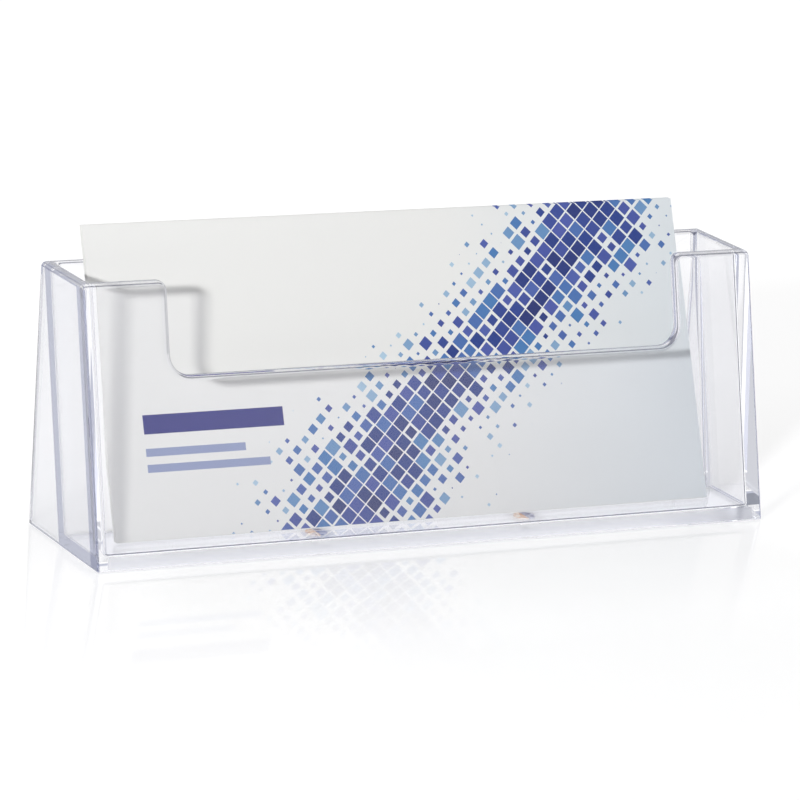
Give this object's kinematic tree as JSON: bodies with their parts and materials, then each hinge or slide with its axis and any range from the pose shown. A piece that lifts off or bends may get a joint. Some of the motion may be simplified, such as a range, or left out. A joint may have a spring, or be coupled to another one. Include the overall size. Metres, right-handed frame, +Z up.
{
  "type": "brochure holder",
  "caption": "Low clear desk holder with a leaning open pocket, a front cut-out between two ears and upright side fins, with landscape leaflets standing in it.",
  "frame": {"origin": "on the table, under the middle of the whole object's box", "axes": "+X to the viewer's right along the holder, +Y towards the back, +Z up; the front faces -Y"},
  "size_m": [0.235, 0.0554, 0.0957],
  "materials": {
    "clear_plastic": "crystal clear, polished",
    "printed_paper": null
  },
  "bodies": {
    "holder": {"front_panel": "clear_plastic", "back_panel": "clear_plastic", "floor_panel": "clear_plastic", "left_side_panel": "clear_plastic", "right_side_panel": "clear_plastic"},
    "front_leaflet": {"leaflet_front": "printed_paper"},
    "middle_leaflet": {"leaflet_middle": "printed_paper"},
    "rear_leaflet": {"leaflet_rear": "printed_paper"}
  },
  "joints": [
    {"name": "front_leaflet_lift", "type": "slide", "parent": "holder", "child": "front_leaflet", "axis": [0, 0.3759, 0.9267], "range_m": [0, 0.095]},
    {"name": "middle_leaflet_lift", "type": "slide", "parent": "holder", "child": "middle_leaflet", "axis": [0, 0.3759, 0.9267], "range_m": [0, 0.095]},
    {"name": "rear_leaflet_lift", "type": "slide", "parent": "holder", "child": "rear_leaflet", "axis": [0, 0.3759, 0.9267], "range_m": [0, 0.095]}
  ]
}
